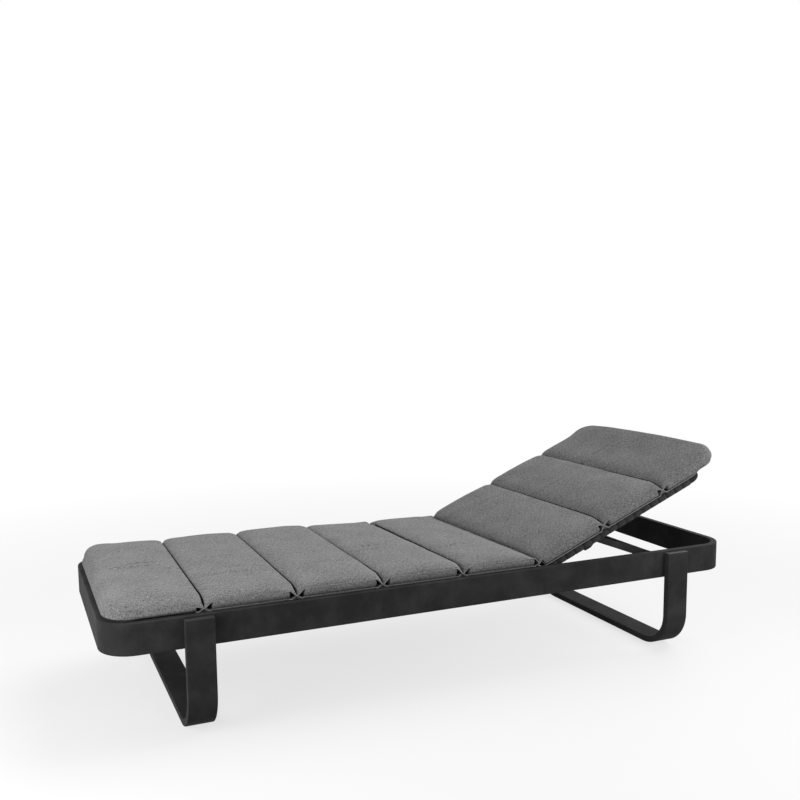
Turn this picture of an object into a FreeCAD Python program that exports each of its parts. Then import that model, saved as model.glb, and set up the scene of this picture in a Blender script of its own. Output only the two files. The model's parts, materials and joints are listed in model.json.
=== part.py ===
import FreeCAD, Part
import os
from math import acos, asin, atan2, cos, floor, pi, radians, sin, sqrt

from FreeCAD import Vector

# A sun lounger: a hoop of flat tube on two U-shaped legs, a strapped seat, a strapped backrest
# that tilts on two hinge pins, a stay that props it, and a mattress of padded sections.
# Millimetres. X runs from the foot end to the head end, Z is up, and the origin is on the
# floor under the middle of the hoop. Right is the -Y side.

# Hoop
hoop_length = 2000.0
hoop_width = 710.0
hoop_corner = 90.0
band_height = 85.0
band_thick = 20.0
band_wall = 2.5
band_edge = 2.5
rail_top = 330.0
hoop_joint_x = -235.0
hoop_joint_gap = 0.3
sleeve_length = 140.0
sleeve_fit = 0.2

# Legs
leg_width = 78.0
leg_thick = 20.0
leg_wall = 2.5
leg_edge = 2.5
leg_bend = 115.0
leg_top_drop = 8.0
foot_leg_inset = 247.0
head_leg_inset = 223.0
cap_plate = 2.5
cap_plug = 14.0
cap_fit = 0.2
glide_thick = 3.0
glide_radius = 15.0
glide_inset = 50.0

# Fasteners
hole_fit = 0.25
thread_fit = 0.05
bolt_radius = 4.0
bolt_head_radius = 7.0
bolt_head_height = 4.5
bolt_low_margin = 13.0
bolt_high_margin = 22.0
nut_radius = 7.0
nut_height = 8.0
nut_play = 1.5
screw_radius = 3.0
screw_head_radius = 5.5
screw_head_height = 3.0
screw_reach = 6.0
joint_screw_offset = 35.0

# Allowances for cutting
overrun = 1.0
level_tolerance = 0.01
cope_reach = 40.0

# Deck tubes and straps
tube_radius = 10.0
tube_wall = 1.5
cross_tube_radius = 8.0
cross_tube_drop = 1.0
weld_gap = 0.05
deck_axis_z = 304.0
deck_side_gap = 10.0
deck_foot_gap = 8.0
deck_foot_bend = 50.0
deck_end_setback = 24.0
rear_tube_setback = 45.0
standoff_radius = 8.0
standoff_foot_inset = 105.0
standoff_rear_setback = 75.0
standoff_count = 3
seat_cross_tube_count = 2
strap_width = 30.0
strap_thick = 1.5
strap_gap = 4.0
strap_fit = 0.05
strap_margin = 4.0

# Backrest and its hinges
hinge_setback = 700.0
rest_angle = 22.6
highest_angle = 55.0
back_length = 670.0
back_bend = 45.0
back_lower_tube_s = 34.0
back_cross_tube_setback = 110.0
eye_radius = 12.0
eye_length = 22.0
hinge_pin_radius = 5.0
hinge_pin_head_radius = 9.0
hinge_pin_head_height = 4.0
hinge_pin_reach = 6.0
bush_wall = 1.5
bush_flange_radius = 10.0
running_fit = 0.05
side_play = 0.3
hinge_plate_thick = 5.0
hinge_plate_length = 60.0
hinge_plate_above = 18.0
hinge_plate_below = 46.0
hinge_plate_corner = 8.0
hinge_screw_spread = 20.0
hinge_screw_drop = 32.0

# Stay and its racks
stay_pivot_s = 219.0
stay_pivot_drop = 2.0
stay_length = 300.0
bar_rest_rise = 38.7
bar_highest_rise = 33.9
stay_arm_thick = 6.0
stay_arm_end = 9.0
stay_bar_radius = 10.0
stay_bar_wall = 2.0
stay_bar_eye = 14.0
stay_bar_end_gap = 2.0
stay_pin_radius = 4.0
stay_pin_head_radius = 7.0
stay_pin_head_height = 3.0
bracket_thick = 5.0
bracket_depth = 25.0
bracket_rise = 6.0
bracket_foot_reach = 52.0
bracket_head_reach = 13.0
bracket_slope = 10.0
rack_thick = 8.0
rack_bottom_margin = 2.0
rack_end_margin = 16.0
rack_clearance = 0.5
rack_notch_depth = 4.0
rack_notch_angle = 11.0
rack_notch_count = 4
rack_path_steps = 8
rack_screw_inset = 14.0

# Mattress
mattress_lift = 0.3
mattress_thick = 61.0
mattress_side_lap = 2.0
mattress_foot_inset = 15.0
crease_lead = 20.0
head_overhang = 86.0
head_section_extra = 11.0
seat_section_count = 5
back_section_count = 3
seam_gap = 0.6
seam_height = 20.0
seam_draw_in = 9.0
shoulder_length = 42.0
crown_drop = 7.0
side_inset = 22.0
side_shoulder = 30.0
crease_setback = 15.0
crease_height = 11.5
crease_shoulder = 52.0
rail_clearance = 2.0
end_corner = 82.0
end_height = 14.0
end_shoulder = 60.0
end_settle = 50.0
section_crown = 3.0
closest_stations = 1.0
station_steps = (0.0, 0.04, 0.15, 0.35, 0.65, 1.0)

# Places worked out from the sizes above
rail_bottom = rail_top - band_height
rail_middle = rail_bottom + band_height / 2
rail_inner = hoop_width / 2 - band_thick
rail_outer = hoop_width / 2
foot_leg_x = -hoop_length / 2 + foot_leg_inset
head_leg_x = hoop_length / 2 - head_leg_inset
leg_top = rail_top - leg_top_drop
leg_outer = rail_outer + leg_thick
bolt_low = rail_bottom + bolt_low_margin
bolt_high = rail_top - bolt_high_margin
glide_spread = leg_outer - leg_bend - glide_inset
hinge_x = hoop_length / 2 - hinge_setback
deck_side = rail_inner - deck_side_gap - tube_radius
deck_foot_x = -hoop_length / 2 + band_thick + deck_foot_gap + tube_radius
seat_tube_end = hinge_x - deck_end_setback
strap_under = tube_radius + strap_fit
strap_top = strap_under + strap_thick
strap_pitch = strap_width + strap_gap
back_top_s = back_length - tube_radius
back_cross_tube_s = back_length - back_cross_tube_setback
eye_inner, eye_outer = deck_side - eye_length / 2, deck_side + eye_length / 2
standoff_foot_x = -hoop_length / 2 + standoff_foot_inset
standoff_rear_x = hinge_x - standoff_rear_setback
standoff_step = (standoff_rear_x - standoff_foot_x) / (standoff_count - 1)
standoff_places = [standoff_foot_x + i * standoff_step for i in range(standoff_count)]
mattress_bottom = deck_axis_z + strap_top + mattress_lift
mattress_half_width = rail_inner + mattress_side_lap
mattress_foot = -hoop_length / 2 + mattress_foot_inset
crease_x = hinge_x - crease_lead
section_pitch = (crease_x - mattress_foot) / seat_section_count
mattress_head = hinge_x + back_length + head_overhang
back_section_pitch = (mattress_head - crease_x - head_section_extra) / back_section_count
hinge_centre = Vector(hinge_x, 0, deck_axis_z)
lowest_turn = -rest_angle
highest_turn = highest_angle - rest_angle
rack_notch_turns = [(i - 1) * rack_notch_angle for i in range(rack_notch_count)] + [highest_turn]
rail_screw_tip = rail_inner + band_wall + screw_reach


def save(name, solids):
    Part.makeCompound(solids).exportStep("parts/" + name + ".step")


def mirrored(shape):
    return shape.mirror(Vector(0, 0, 0), Vector(0, 1, 0))


def both_sides(solids):
    return solids + [mirrored(solid) for solid in solids]


def raised(shape):
    # Turns a piece of the backrest, drawn lying flat, to its rest angle
    copy = shape.copy()
    copy.rotate(hinge_centre, Vector(0, -1, 0), rest_angle)
    return copy


def block(x0, x1, y0, y1, z0, z1):
    return Part.makeBox(x1 - x0, y1 - y0, z1 - z0, Vector(x0, y0, z0))


def cross_rod(radius, x, z, inner, outer):
    # A rod along Y on the right side, between two distances from the middle plane
    return Part.makeCylinder(radius, outer - inner, Vector(x, -outer, z), Vector(0, 1, 0))


def pipe(start, end, radius, wall):
    way = end - start
    outside = Part.makeCylinder(radius, way.Length, start, way)
    return outside.cut(Part.makeCylinder(radius - wall, way.Length, start, way))


def headed_rod(x, z, seat, tip, radius, head_radius, head_height):
    # A bolt, screw or pin whose head faces the middle plane
    shank = cross_rod(radius, x, z, seat, tip)
    return shank.fuse(cross_rod(head_radius, x, z, seat - head_height, seat)).removeSplitter()


def rail_screw(x, z, seat):
    return headed_rod(x, z, seat, rail_screw_tip, screw_radius, screw_head_radius, screw_head_height)


def rounded_rectangle(length, width, corner, z):
    # A flat face centred on the Z axis, with round corners
    a, b = length / 2 - corner, width / 2 - corner
    k = corner * cos(radians(45))
    edges = []
    corners = ((a, b, 1, 1), (-a, b, -1, 1), (-a, -b, -1, -1), (a, -b, 1, -1))
    for i, (cx, cy, sx, sy) in enumerate(corners):
        along_x = Vector(cx + sx * corner, cy, z)
        along_y = Vector(cx, cy + sy * corner, z)
        middle = Vector(cx + sx * k, cy + sy * k, z)
        first, last = (along_x, along_y) if i % 2 == 0 else (along_y, along_x)
        if edges:
            edges.append(Part.LineSegment(turned_end, first).toShape())
        else:
            start = first
        edges.append(Part.Arc(first, middle, last).toShape())
        turned_end = last
    edges.append(Part.LineSegment(turned_end, start).toShape())
    return Part.Face(Part.Wire(edges))


def hoop_ring(inset_out, inset_in, z0, z1):
    # The ring between two outlines, each set in from the hoop's outer outline
    faces = []
    for inset in (inset_out, inset_in):
        length, width = hoop_length - 2 * inset, hoop_width - 2 * inset
        faces.append(rounded_rectangle(length, width, hoop_corner - inset, z0))
    rise = Vector(0, 0, z1 - z0)
    return faces[0].extrude(rise).cut(faces[1].extrude(rise))


def leg_faces(x, inset):
    # The U of one leg in the plane at x, set in from its outer surface by inset
    far, near = leg_outer - inset, rail_outer + inset
    bend_far = leg_bend - inset
    bend_near = leg_bend - leg_thick + inset
    floor_centre = glide_thick + leg_bend
    side_centre = leg_outer - leg_bend
    k = cos(radians(45))

    def at(y, z):
        return Vector(x, y, z)

    def u_line(side, radius):
        return (at(-side, leg_top), at(-side, floor_centre),
                at(-side_centre - radius * k, floor_centre - radius * k),
                at(-side_centre, floor_centre - radius), at(side_centre, floor_centre - radius),
                at(side_centre + radius * k, floor_centre - radius * k),
                at(side, floor_centre), at(side, leg_top))

    def u_edges(p):
        return [Part.LineSegment(p[0], p[1]).toShape(), Part.Arc(p[1], p[2], p[3]).toShape(),
                Part.LineSegment(p[3], p[4]).toShape(), Part.Arc(p[4], p[5], p[6]).toShape(),
                Part.LineSegment(p[6], p[7]).toShape()]

    outer, inner = u_line(far, bend_far), u_line(near, bend_near)
    edges = u_edges(outer) + u_edges(inner)
    edges.append(Part.LineSegment(outer[0], inner[0]).toShape())
    edges.append(Part.LineSegment(outer[7], inner[7]).toShape())
    return Part.Face(Part.Wire(Part.__sortEdges__(edges)))


def long_edges(shape, is_chosen):
    return [edge for edge in shape.Edges if is_chosen(edge)]


# Holes in the rails, as (x, z, radius, through both walls)
rail_holes = []
for leg_x in (foot_leg_x, head_leg_x):
    for bolt_z in (bolt_low, bolt_high):
        rail_holes.append((leg_x, bolt_z, bolt_radius, True))
for screw_x in standoff_places:
    rail_holes.append((screw_x, deck_axis_z, screw_radius, False))
rail_holes.append((hinge_x, deck_axis_z, hinge_pin_radius, False))
hinge_screw_z = deck_axis_z - hinge_screw_drop
for way in (-1, 1):
    rail_holes.append((hinge_x + way * hinge_screw_spread, hinge_screw_z, screw_radius, False))
    rail_holes.append((hoop_joint_x + way * joint_screw_offset, rail_middle, screw_radius, False))


def stay_pivot(turn):
    # The stay's pivot when the backrest has turned from rest
    angle = radians(rest_angle + turn)
    return Vector(hinge_x + stay_pivot_s * cos(angle) + stay_pivot_drop * sin(angle), 0,
                  deck_axis_z + stay_pivot_s * sin(angle) - stay_pivot_drop * cos(angle))


# The stay's dip below level, in radians, at rest and at the highest angle, and its change per degree
rest_dip = asin((stay_pivot(0.0).z - rail_bottom - bar_rest_rise) / stay_length)
highest_dip = asin((stay_pivot(highest_turn).z - rail_bottom - bar_highest_rise) / stay_length)
dip_rate = (highest_dip - rest_dip) / highest_turn


def stay_path(turn):
    # Centre of the stay's bar, which swings in step with the backrest
    pivot = stay_pivot(turn)
    dip = rest_dip + dip_rate * turn
    return pivot + Vector(stay_length * cos(dip), 0, -stay_length * sin(dip))


rack_low_bar = stay_path(lowest_turn)
rack_high_bar = stay_path(highest_turn)
rack_foot_x = rack_high_bar.x - rack_end_margin
rack_head_x = rack_low_bar.x + rack_end_margin
rack_screw_x = rack_foot_x + rack_screw_inset
rail_holes.append((rack_screw_x, bolt_low, screw_radius, False))


def drilled(shape):
    for x, z, radius, through in rail_holes:
        outer = rail_outer if through else rail_inner + band_wall
        rod = cross_rod(radius + hole_fit, x, z, rail_inner - overrun, outer + overrun)
        shape = shape.cut(Part.makeCompound(both_sides([rod])))
    return shape


def make_hoop():
    ring = hoop_ring(0, band_thick, rail_bottom, rail_top)

    def on_rim(edge):
        return edge.BoundBox.ZLength < level_tolerance

    ring = ring.makeFillet(band_edge, long_edges(ring, on_rim))
    hollow = hoop_ring(band_wall, band_thick - band_wall, rail_bottom + band_wall, rail_top - band_wall)
    ring = drilled(ring.cut(hollow))
    far = hoop_length
    half_gap = hoop_joint_gap / 2
    foot_space = block(-far, hoop_joint_x - half_gap, -far, far, 0, far)
    head_space = block(hoop_joint_x + half_gap, far, -far, far, 0, far)
    save("foot_hoop", [ring.common(foot_space).Solids[0]])
    save("head_hoop", [ring.common(head_space).Solids[0]])


def make_hoop_joints():
    gap = band_wall + sleeve_fit
    sleeve = block(hoop_joint_x - sleeve_length / 2, hoop_joint_x + sleeve_length / 2,
                   -rail_outer + gap, -rail_inner - gap, rail_bottom + gap, rail_top - gap)
    screws = []
    for way in (-1, 1):
        x = hoop_joint_x + way * joint_screw_offset
        bore = cross_rod(screw_radius + thread_fit, x, rail_middle, rail_inner, rail_screw_tip + overrun)
        sleeve = sleeve.cut(bore)
        screws.append(rail_screw(x, rail_middle, rail_inner))
    save("hoop_joint_sleeves", both_sides([sleeve]))
    save("hoop_joint_screws", both_sides(screws))


def make_leg(name, x):
    outside = leg_faces(x - leg_width / 2, 0).extrude(Vector(leg_width, 0, 0))

    def on_long_edge(edge):
        box = edge.BoundBox
        return box.XLength < level_tolerance and box.ZLength + box.YLength > leg_thick + overrun

    outside = outside.makeFillet(leg_edge, long_edges(outside, on_long_edge))
    inside_width = leg_width - 2 * leg_wall
    hollow = leg_faces(x - inside_width / 2, leg_wall).extrude(Vector(inside_width, 0, 0))
    leg = outside.cut(hollow)
    for bolt_z in (bolt_low, bolt_high):
        inner, outer = rail_outer - overrun, rail_outer + leg_wall + overrun
        rod = cross_rod(bolt_radius + hole_fit, x, bolt_z, inner, outer)
        leg = leg.cut(Part.makeCompound(both_sides([rod])))
    save(name, [leg.Solids[0]])


def make_leg_fittings():
    caps, bolts, nuts, glides = [], [], [], []
    for x in (foot_leg_x, head_leg_x):
        x0, x1 = x - leg_width / 2, x + leg_width / 2
        plate = block(x0, x1, -leg_outer, -rail_outer, leg_top, leg_top + cap_plate)
        gap = leg_wall + cap_fit
        plug = block(x0 + gap, x1 - gap, -leg_outer + gap, -rail_outer - gap, leg_top - cap_plug, leg_top)
        room = cross_rod(nut_radius + nut_play, x, bolt_high, rail_outer, leg_outer)
        upright = [edge for edge in plate.Edges if edge.BoundBox.ZLength > cap_plate / 2]
        plate = plate.makeFillet(leg_edge, upright)
        caps.append(plate.fuse(plug.cut(room)).removeSplitter())
        for bolt_z in (bolt_low, bolt_high):
            on_rack = x == head_leg_x and bolt_z == bolt_low
            seat = rail_inner - rack_thick if on_rack else rail_inner
            tip = rail_outer + leg_wall + nut_height
            bolts.append(headed_rod(x, bolt_z, seat, tip, bolt_radius, bolt_head_radius, bolt_head_height))
            nut = cross_rod(nut_radius, x, bolt_z, rail_outer + leg_wall, tip)
            nuts.append(nut.cut(cross_rod(bolt_radius + thread_fit, x, bolt_z, rail_outer, tip + overrun)))
        glides.append(Part.makeCylinder(glide_radius, glide_thick, Vector(x, -glide_spread, 0)))
    save("leg_end_caps", both_sides(caps))
    save("leg_bolts", both_sides(bolts))
    save("leg_nuts", both_sides(nuts))
    save("floor_glides", both_sides(glides))


def bent_tube(end_x, side, bend, z, way):
    # A tube across the deck's end with a bend at each side; way is the direction of its open ends
    k = bend * cos(radians(45))
    points = [Vector(end_x + way * bend, -side, z),
              Vector(end_x + way * (bend - k), -side + bend - k, z),
              Vector(end_x, -side + bend, z)]
    mirror_points = [Vector(p.x, -p.y, p.z) for p in reversed(points)]
    path = Part.Wire([Part.Arc(*points).toShape(),
                      Part.LineSegment(points[2], mirror_points[0]).toShape(),
                      Part.Arc(*mirror_points).toShape()])
    solids = []
    for radius in (tube_radius, tube_radius - tube_wall):
        ring = Part.Wire([Part.makeCircle(radius, points[0], Vector(1, 0, 0))])
        solids.append(path.makePipeShell([ring], True, False))
    return solids[0].cut(solids[1])


def side_tube_space(x, side):
    # The room that a side tube takes near one place, for shaping what meets it
    start = Vector(x - cope_reach, side, deck_axis_z)
    return Part.makeCylinder(tube_radius + weld_gap, 2 * cope_reach, start, Vector(1, 0, 0))


def coped_cross_tube(x, z, radius):
    # A straight tube between the side tubes, shaped to their sides
    tube = pipe(Vector(x, -deck_side, z), Vector(x, deck_side, z), radius, tube_wall)
    for side in (-deck_side, deck_side):
        tube = tube.cut(side_tube_space(x, side))
    return tube.Solids[0]


def strap(x):
    # One strap: flat across the tops of the side tubes and wrapped half round each of them
    def at(y, z):
        return Vector(x, y, deck_axis_z + z)

    y = deck_side
    edges = [Part.LineSegment(at(-y, strap_top), at(y, strap_top)),
             Part.Arc(at(y, strap_top), at(y + strap_top, 0), at(y, -strap_top)),
             Part.LineSegment(at(y, -strap_top), at(y, -strap_under)),
             Part.Arc(at(y, -strap_under), at(y + strap_under, 0), at(y, strap_under)),
             Part.LineSegment(at(y, strap_under), at(-y, strap_under)),
             Part.Arc(at(-y, strap_under), at(-y - strap_under, 0), at(-y, -strap_under)),
             Part.LineSegment(at(-y, -strap_under), at(-y, -strap_top)),
             Part.Arc(at(-y, -strap_top), at(-y - strap_top, 0), at(-y, strap_top))]
    outline = Part.Wire([edge.toShape() for edge in edges])
    return Part.Face(outline).extrude(Vector(strap_width, 0, 0))


def strap_field(start, end):
    # As many straps as fit between two places, centred between them
    count = int(floor((end - start + strap_gap) / strap_pitch))
    first = (start + end - count * strap_pitch + strap_gap) / 2
    return [strap(first + i * strap_pitch) for i in range(count)]


def make_seat_frame():
    start_x = deck_foot_x + deck_foot_bend
    side = pipe(Vector(start_x, -deck_side, deck_axis_z), Vector(seat_tube_end, -deck_side, deck_axis_z),
                tube_radius, tube_wall)
    standoffs, screws = [], []
    for x in standoff_places:
        inner = deck_side - tube_radius
        bore = cross_rod(screw_radius + hole_fit, x, deck_axis_z, inner - overrun, rail_inner + overrun)
        side = side.cut(bore)
        sleeve = cross_rod(standoff_radius, x, deck_axis_z, deck_side, rail_inner)
        standoffs.append(sleeve.cut(side_tube_space(x, -deck_side)).cut(bore))
        screws.append(rail_screw(x, deck_axis_z, inner))
    save("seat_side_tube_right", [side])
    save("seat_side_tube_left", [mirrored(side)])
    save("deck_standoffs", both_sides(standoffs))
    save("deck_screws", both_sides(screws))
    save("seat_foot_tube", [bent_tube(deck_foot_x, deck_side, deck_foot_bend, deck_axis_z, 1)])
    save("seat_rear_tube", [coped_cross_tube(hinge_x - rear_tube_setback, deck_axis_z, tube_radius)])
    span = (hinge_x - rear_tube_setback - start_x) / (seat_cross_tube_count + 1)
    cross_z = deck_axis_z - cross_tube_drop
    crosses = [coped_cross_tube(start_x + (i + 1) * span, cross_z, cross_tube_radius)
               for i in range(seat_cross_tube_count)]
    save("seat_cross_tubes", crosses)
    straps = []
    edge = standoff_radius + strap_margin
    for first, last in zip(standoff_places, standoff_places[1:]):
        straps += strap_field(first + edge, last - edge)
    save("seat_straps", straps)


def make_hinges():
    length, corner = hinge_plate_length, hinge_plate_corner
    plate = block(hinge_x - length / 2, hinge_x + length / 2, -rail_inner, -rail_inner + hinge_plate_thick,
                  deck_axis_z - hinge_plate_below, deck_axis_z + hinge_plate_above)
    upright = [edge for edge in plate.Edges if edge.BoundBox.YLength > hinge_plate_thick / 2]
    plate = plate.makeFillet(corner, upright)
    inner = rail_inner - hinge_plate_thick
    low, high = inner - overrun, rail_inner + overrun
    plate = plate.cut(cross_rod(hinge_pin_radius + thread_fit, hinge_x, deck_axis_z, low, high))
    screws = []
    for way in (-1, 1):
        x = hinge_x + way * hinge_screw_spread
        plate = plate.cut(cross_rod(screw_radius + hole_fit, x, hinge_screw_z, low, high))
        screws.append(rail_screw(x, hinge_screw_z, inner))
    save("hinge_plate_right", [plate])
    save("hinge_plate_left", [mirrored(plate)])
    save("hinge_plate_screws", both_sides(screws))
    pin = headed_rod(hinge_x, deck_axis_z, eye_inner - side_play, rail_inner + band_wall + hinge_pin_reach,
                     hinge_pin_radius, hinge_pin_head_radius, hinge_pin_head_height)
    save("hinge_pins", both_sides([pin]))
    bush = cross_rod(hinge_pin_radius + running_fit + bush_wall, hinge_x, deck_axis_z, eye_inner, eye_outer)
    flange = cross_rod(bush_flange_radius, hinge_x, deck_axis_z, eye_outer, inner - side_play)
    bore = cross_rod(hinge_pin_radius + running_fit, hinge_x, deck_axis_z, eye_inner - overrun, rail_inner)
    bush = bush.fuse(flange).cut(bore).removeSplitter()
    save("hinge_bushes", [raised(solid) for solid in both_sides([bush])])


def make_back_frame():
    top_x = hinge_x + back_top_s
    side = pipe(Vector(hinge_x, -deck_side, deck_axis_z), Vector(top_x - back_bend, -deck_side, deck_axis_z),
                tube_radius, tube_wall)
    eye = cross_rod(eye_radius, hinge_x, deck_axis_z, eye_inner, eye_outer)
    bush_hole = hinge_pin_radius + running_fit + bush_wall + weld_gap
    bore = cross_rod(bush_hole, hinge_x, deck_axis_z, eye_inner - overrun, eye_outer + overrun)
    side = side.fuse(eye).cut(bore).removeSplitter().Solids[0]
    save("back_side_tube_right", [raised(side)])
    save("back_side_tube_left", [raised(mirrored(side))])
    save("back_top_tube", [raised(bent_tube(top_x, deck_side, back_bend, deck_axis_z, -1))])
    cross_z = deck_axis_z - cross_tube_drop
    for name, s in (("back_lower_tube", back_lower_tube_s), ("back_cross_tube", back_cross_tube_s)):
        save(name, [raised(coped_cross_tube(hinge_x + s, cross_z, cross_tube_radius))])
    first = hinge_x + eye_radius + tube_radius
    straps = strap_field(first, top_x - back_bend)
    save("back_straps", [raised(solid) for solid in straps])


def link_face(p, p_radius, q, q_radius, y):
    # The outline of a flat link with a round end about each of two points
    way = q - p
    heading = atan2(way.z, way.x)
    spread = acos((p_radius - q_radius) / way.Length)

    def at(centre, radius, angle):
        return Vector(centre.x + radius * cos(angle), y, centre.z + radius * sin(angle))

    p_low, p_high = at(p, p_radius, heading - spread), at(p, p_radius, heading + spread)
    q_low, q_high = at(q, q_radius, heading - spread), at(q, q_radius, heading + spread)
    edges = [Part.LineSegment(p_low, q_low).toShape(),
             Part.Arc(q_low, at(q, q_radius, heading), q_high).toShape(),
             Part.LineSegment(q_high, p_high).toShape(),
             Part.Arc(p_high, at(p, -p_radius, heading), p_low).toShape()]
    return Part.Face(Part.Wire(edges))


bracket_outer = deck_side - tube_radius
bracket_inner = bracket_outer - bracket_thick
arm_outer = bracket_inner - side_play
arm_inner = arm_outer - stay_arm_thick


def make_stay():
    bar_centre, pivot = stay_path(0.0), stay_pivot(0.0)
    outline = link_face(pivot, stay_arm_end, bar_centre, stay_bar_eye, -arm_outer)
    arm = outline.extrude(Vector(0, stay_arm_thick, 0))
    low, high = arm_inner - overrun, arm_outer + overrun
    pin_hole = cross_rod(stay_pin_radius + running_fit, pivot.x, pivot.z, low, high)
    bar_hole = cross_rod(stay_bar_radius + weld_gap, bar_centre.x, bar_centre.z, low, high)
    arm = arm.cut(pin_hole).cut(bar_hole)
    save("stay_arm_right", [arm])
    save("stay_arm_left", [mirrored(arm)])
    half = rail_inner - stay_bar_end_gap
    bar = pipe(Vector(bar_centre.x, -half, bar_centre.z), Vector(bar_centre.x, half, bar_centre.z),
               stay_bar_radius, stay_bar_wall)
    save("stay_bar", [bar])


def make_stay_brackets():
    x, z = hinge_x + stay_pivot_s, deck_axis_z

    def at(s, n):
        return Vector(x + s, -bracket_outer, z + n)

    points = [at(-bracket_foot_reach, bracket_rise),
              at(-bracket_foot_reach, -tube_radius),
              at(-bracket_foot_reach + bracket_slope, -bracket_depth),
              at(-2 * bracket_slope, -bracket_depth),
              at(bracket_head_reach, -tube_radius),
              at(bracket_head_reach, bracket_rise)]
    plate = Part.Face(Part.makePolygon(points + points[:1])).extrude(Vector(0, bracket_thick, 0))
    pivot_z = z - stay_pivot_drop
    low, high = bracket_inner - overrun, bracket_outer + overrun
    plate = plate.cut(cross_rod(stay_pin_radius + thread_fit, x, pivot_z, low, high))
    save("stay_bracket_right", [raised(plate)])
    save("stay_bracket_left", [raised(mirrored(plate))])
    pin = headed_rod(x, pivot_z, arm_inner - side_play, bracket_outer,
                     stay_pin_radius, stay_pin_head_radius, stay_pin_head_height)
    save("stay_pivot_pins", [raised(solid) for solid in both_sides([pin])])


def make_racks():
    bottom = rail_bottom + rack_bottom_margin
    under = stay_bar_radius + rack_clearance

    def at(x, z):
        return Vector(x, -rail_inner, z)

    step = (highest_turn - lowest_turn) / rack_path_steps
    crest = []
    for i in range(rack_path_steps + 1):
        bar = stay_path(lowest_turn + i * step)
        crest.append(at(bar.x, bar.z - under))
    head_end = at(rack_head_x, crest[0].z)
    foot_end = at(rack_foot_x, crest[-1].z)
    points = [at(rack_foot_x, bottom), at(rack_head_x, bottom), head_end] + crest + [foot_end]
    rack = Part.Face(Part.makePolygon(points + points[:1])).extrude(Vector(0, rack_thick, 0))
    inner = rail_inner - rack_thick
    low, high = inner - overrun, rail_inner + overrun
    for turn in rack_notch_turns:
        bar = stay_path(turn)
        rack = rack.cut(cross_rod(under, bar.x, bar.z - rack_notch_depth, low, high))
    rack = rack.cut(cross_rod(bolt_radius + hole_fit, head_leg_x, bolt_low, low, high))
    rack = rack.cut(cross_rod(screw_radius + hole_fit, rack_screw_x, bolt_low, low, high))
    save("stay_rack_right", [rack])
    save("stay_rack_left", [mirrored(rack)])
    save("rack_screws", both_sides([rail_screw(rack_screw_x, bolt_low, inner)]))


def section_outline(x, half_width, bottom, height):
    # One cross-section of a padded section: flat below, full at the sides, crowned above
    share = height / mattress_thick
    inset, shoulder = side_inset * share, side_shoulder * share
    top = bottom + height
    edge = top - crown_drop * share

    def at(y, z):
        return Vector(x, y, z)

    low_y, high_y = half_width - inset, half_width - shoulder
    middle = bottom + height / 2
    edges = [Part.LineSegment(at(-low_y, bottom), at(low_y, bottom)),
             Part.Arc(at(low_y, bottom), at(half_width, middle), at(high_y, edge)),
             Part.Arc(at(high_y, edge), at(0, top), at(-high_y, edge)),
             Part.Arc(at(-high_y, edge), at(-half_width, middle), at(-low_y, bottom))]
    return Part.Wire([edge.toShape() for edge in edges])


def quarter_round(share):
    share = min(max(share, 0.0), 1.0)
    return sqrt(1 - (1 - share) ** 2)


def settled(share):
    # Falls smoothly from one to nothing
    share = min(max(share, 0.0), 1.0)
    return (1 + cos(pi * share)) / 2


# Each end's shape gives, at a distance into the section, its draw-in, the rise of its
# underside and the height of its top
def seam_end(distance):
    fullness = quarter_round(distance / shoulder_length)
    top = seam_height + (mattress_thick - seam_height) * fullness
    return seam_draw_in * (1 - fullness), 0.0, top


def crease_end(distance):
    # Sloped, so that the fold over the hinge can close
    fullness = sin(pi / 2 * min(distance / crease_shoulder, 1.0))
    top = crease_height + (mattress_thick - crease_height) * fullness
    return seam_draw_in * (1 - fullness), 0.0, top


def free_end(lifted_length):
    # Round corners, and an underside lifted clear of the rail that it passes over
    lift = rail_top + rail_clearance - mattress_bottom

    def shape(distance):
        draw_in = end_corner * (1 - quarter_round(distance / end_corner))
        rise = lift * settled((distance - lifted_length) / end_settle)
        end_top = lift + end_height
        top = end_top + (mattress_thick - end_top) * quarter_round(distance / end_shoulder)
        return draw_in, rise, top

    return shape


def stations(start, reach):
    # Distances that crowd towards the start of a curved stretch
    return [start + step * reach for step in station_steps]


def padded_section(x0, x1, first, last, settling=()):
    # A section between two places, with the shape of each end, lofted through its stations;
    # settling lists further stations where the underside comes down past the rail
    length = x1 - x0
    near = stations(0.0, max(shoulder_length, crease_shoulder, end_corner))
    places = [0.0]
    for place in sorted(near + [length - distance for distance in near] + list(settling)):
        if places[-1] + closest_stations <= place <= length - closest_stations:
            places.append(place)
    places.append(length)
    wires = []
    for place in places:
        draw_0, rise_0, top_0 = first(place)
        draw_1, rise_1, top_1 = last(length - place)
        crown = section_crown * (2 * place / length - 1) ** 2
        rise = rise_0 + rise_1
        height = min(top_0, top_1) - crown - rise
        half = mattress_half_width - draw_0 - draw_1
        wires.append(section_outline(x0 + place, half, mattress_bottom + rise, height))
    return Part.makeLoft(wires, True, True)


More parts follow.
